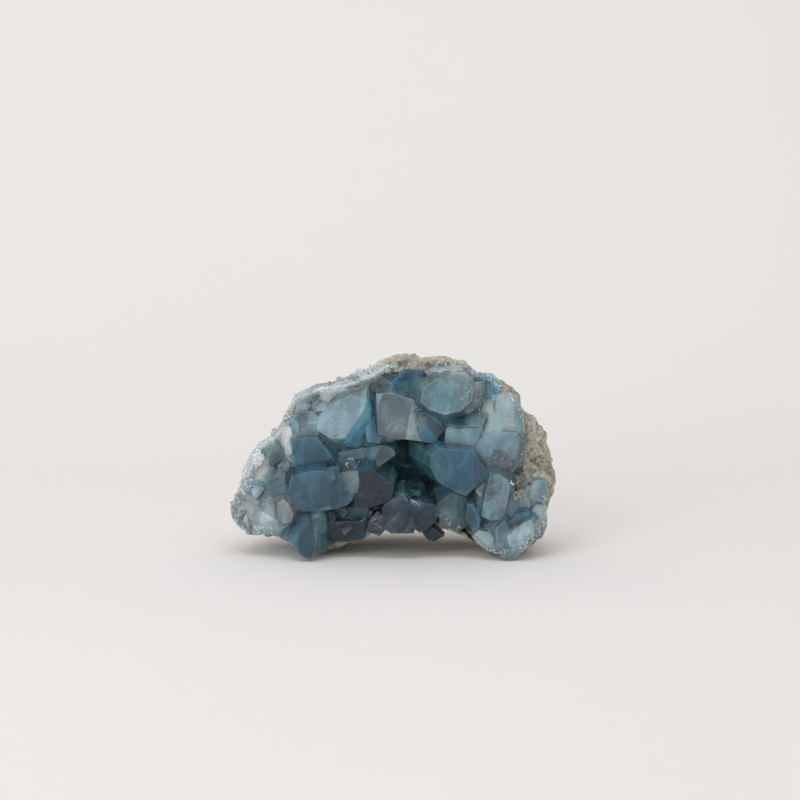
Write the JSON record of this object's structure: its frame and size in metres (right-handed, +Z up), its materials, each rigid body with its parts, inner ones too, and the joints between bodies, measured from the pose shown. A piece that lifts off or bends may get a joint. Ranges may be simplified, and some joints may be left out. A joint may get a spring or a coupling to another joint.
{
  "type": "celestite geode",
  "caption": "Broken half of a geode: a rough limestone rind lined with a crust of blue celestite crystals round a dark hollow, standing like a low arch.",
  "frame": {"origin": "on the floor under the middle of the stone", "axes": "+Z up, the open crystal side faces -Y, +X to the right as seen from that side"},
  "size_m": [0.1062, 0.0532, 0.0643],
  "materials": {
    "limestone": "rough",
    "celestite": "satin"
  },
  "bodies": {
    "root": {"limestone_rind": "limestone", "crystal_crust": "celestite"}
  },
  "joints": []
}
